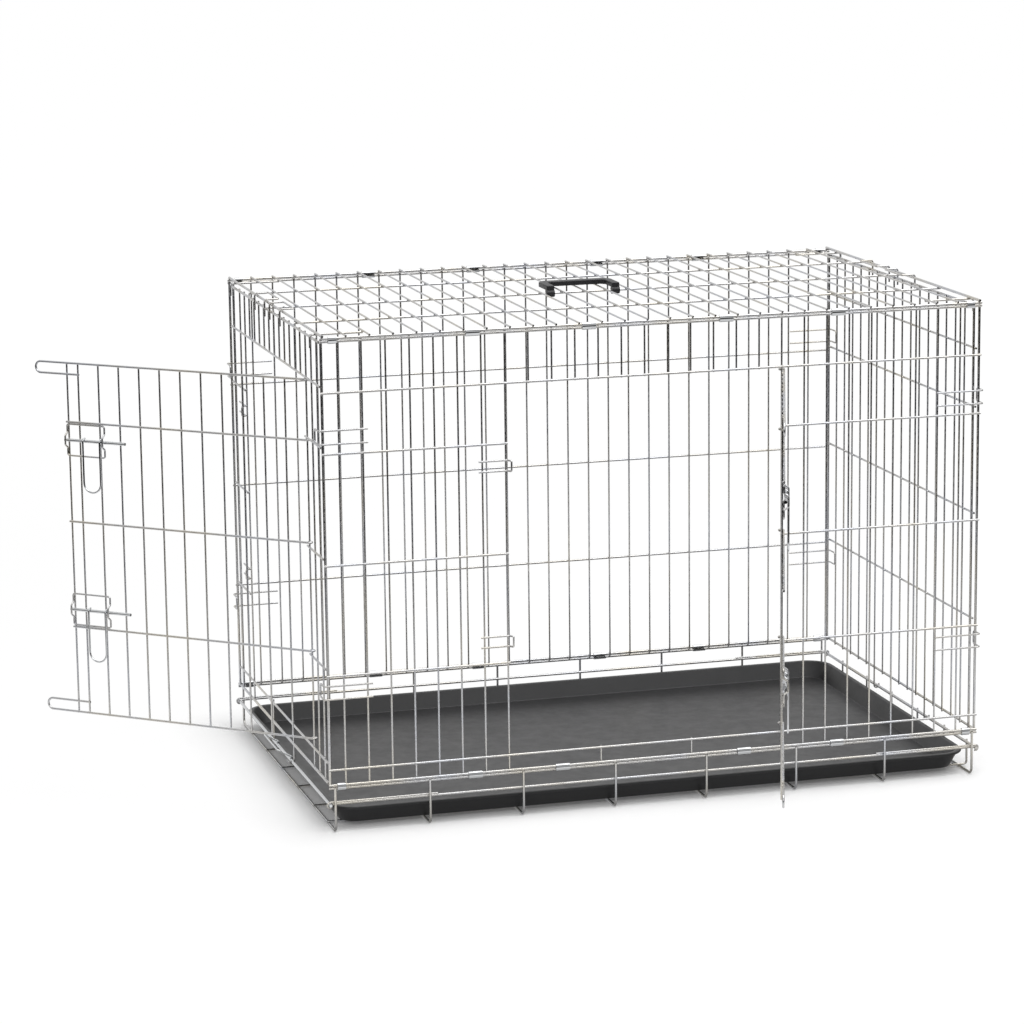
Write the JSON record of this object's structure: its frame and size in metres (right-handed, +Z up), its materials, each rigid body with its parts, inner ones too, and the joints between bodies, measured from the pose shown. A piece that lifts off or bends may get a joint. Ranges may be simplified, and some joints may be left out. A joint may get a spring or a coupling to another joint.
{
  "type": "folding wire dog crate",
  "caption": "Rectangular welded-wire dog crate with two hinged latching doors, a slide-out plastic tray and a folding carry handle.",
  "frame": {"origin": "on the floor, at the middle of the left foot wire's flat underside, on the plane halfway between the front and back panels", "axes": "+X along the crate's long side towards the right end, +Y from the front panel to the back panel, +Z up"},
  "size_m": [1.4451, 1.1444, 0.7844],
  "materials": {
    "zinc_wire": "bright zinc-plated steel wire, satin gloss",
    "bright_zinc": "bright zinc-plated steel, glossy",
    "tray_plastic": "finely grained black moulded plastic",
    "handle_plastic": "matte black moulded plastic"
  },
  "bodies": {
    "crate": {"base_frame": "zinc_wire", "left_hinge_bar": "bright_zinc", "front_panel": "zinc_wire", "back_panel": "zinc_wire", "left_end_panel": "zinc_wire", "right_end_panel": "zinc_wire", "top_panel": "zinc_wire", "front_lower_keeper": "zinc_wire", "front_upper_keeper": "zinc_wire", "end_lower_keeper": "zinc_wire", "end_upper_keeper": "zinc_wire", "front_top_clip_1": "bright_zinc", "front_top_clip_2": "bright_zinc", "front_top_clip_3": "bright_zinc", "front_top_clip_4": "bright_zinc", "front_top_clip_5": "bright_zinc", "front_top_clip_6": "bright_zinc", "front_foot_clip_1": "bright_zinc", "front_foot_clip_2": "bright_zinc", "front_foot_clip_3": "bright_zinc", "front_foot_clip_4": "bright_zinc", "front_foot_clip_5": "bright_zinc", "front_foot_clip_6": "bright_zinc", "back_top_clip_1": "bright_zinc", "back_top_clip_2": "bright_zinc", "back_top_clip_3": "bright_zinc", "back_top_clip_4": "bright_zinc", "back_top_clip_5": "bright_zinc", "back_top_clip_6": "bright_zinc", "back_foot_clip_1": "bright_zinc", "back_foot_clip_2": "bright_zinc", "back_foot_clip_3": "bright_zinc", "back_foot_clip_4": "bright_zinc", "back_foot_clip_5": "bright_zinc", "back_foot_clip_6": "bright_zinc"},
    "front_door": {"front_door": "zinc_wire"},
    "end_door": {"end_door": "zinc_wire"},
    "tray": {"tray": "tray_plastic"},
    "tray_stop": {"tray_stop": "bright_zinc"},
    "handle": {"handle": "handle_plastic"},
    "front_lower_bolt": {"front_lower_bolt": "bright_zinc"},
    "front_lower_finger_loop": {"front_lower_finger_loop": "bright_zinc"},
    "front_upper_bolt": {"front_upper_bolt": "bright_zinc"},
    "front_upper_finger_loop": {"front_upper_finger_loop": "bright_zinc"},
    "end_lower_bolt": {"end_lower_bolt": "bright_zinc"},
    "end_lower_finger_loop": {"end_lower_finger_loop": "bright_zinc"},
    "end_upper_bolt": {"end_upper_bolt": "bright_zinc"},
    "end_upper_finger_loop": {"end_upper_finger_loop": "bright_zinc"}
  },
  "joints": [
    {"name": "front_door_hinge", "type": "hinge", "parent": "crate", "child": "front_door", "pos_m": [0.7313, -0.3371, 0.4], "axis": [0, 0, 1], "range_deg": [-70, 95]},
    {"name": "front_lower_bolt_slide", "type": "slide", "parent": "front_door", "child": "front_lower_bolt", "axis": [-0.342, -0.9397, 0], "range_m": [0, 0.027]},
    {"name": "front_lower_finger_loop_swing", "type": "hinge", "parent": "front_lower_bolt", "child": "front_lower_finger_loop", "pos_m": [0.59931, -0.71686, 0.28227], "axis": [-0.342, -0.9397, 0], "range_deg": [0, 150]},
    {"name": "front_upper_bolt_slide", "type": "slide", "parent": "front_door", "child": "front_upper_bolt", "axis": [-0.342, -0.9397, 0], "range_m": [0, 0.027]},
    {"name": "front_upper_finger_loop_swing", "type": "hinge", "parent": "front_upper_bolt", "child": "front_upper_finger_loop", "pos_m": [0.59931, -0.71686, 0.55942], "axis": [-0.342, -0.9397, 0], "range_deg": [0, 150]},
    {"name": "end_door_hinge", "type": "hinge", "parent": "crate", "child": "end_door", "pos_m": [-0.0033, -0.219, 0.408], "axis": [0, 0, 1], "range_deg": [-48.4, 116.6]},
    {"name": "end_lower_bolt_slide", "type": "slide", "parent": "end_door", "child": "end_lower_bolt", "axis": [-0.7478, 0.6639, 0], "range_m": [0, 0.027]},
    {"name": "end_lower_finger_loop_swing", "type": "hinge", "parent": "end_lower_bolt", "child": "end_lower_finger_loop", "pos_m": [-0.3078, 0.04352, 0.29027], "axis": [-0.7478, 0.6639, 0], "range_deg": [0, 150]},
    {"name": "end_upper_bolt_slide", "type": "slide", "parent": "end_door", "child": "end_upper_bolt", "axis": [-0.7478, 0.6639, 0], "range_m": [0, 0.027]},
    {"name": "end_upper_finger_loop_swing", "type": "hinge", "parent": "end_upper_bolt", "child": "end_upper_finger_loop", "pos_m": [-0.3078, 0.04352, 0.56743], "axis": [-0.7478, 0.6639, 0], "range_deg": [0, 150]},
    {"name": "tray_slide", "type": "slide", "parent": "crate", "child": "tray", "axis": [-1, 0, 0], "range_m": [0, 0.95]},
    {"name": "tray_stop_swing", "type": "hinge", "parent": "crate", "child": "tray_stop", "pos_m": [-0.00765, -0.055, 0.04383], "axis": [0, 1, 0], "range_deg": [-120, 30]},
    {"name": "handle_fold", "type": "hinge", "parent": "crate", "child": "handle", "pos_m": [0.455, 0, 0.7717], "axis": [1, 0, 0], "range_deg": [0, 100]}
  ]
}
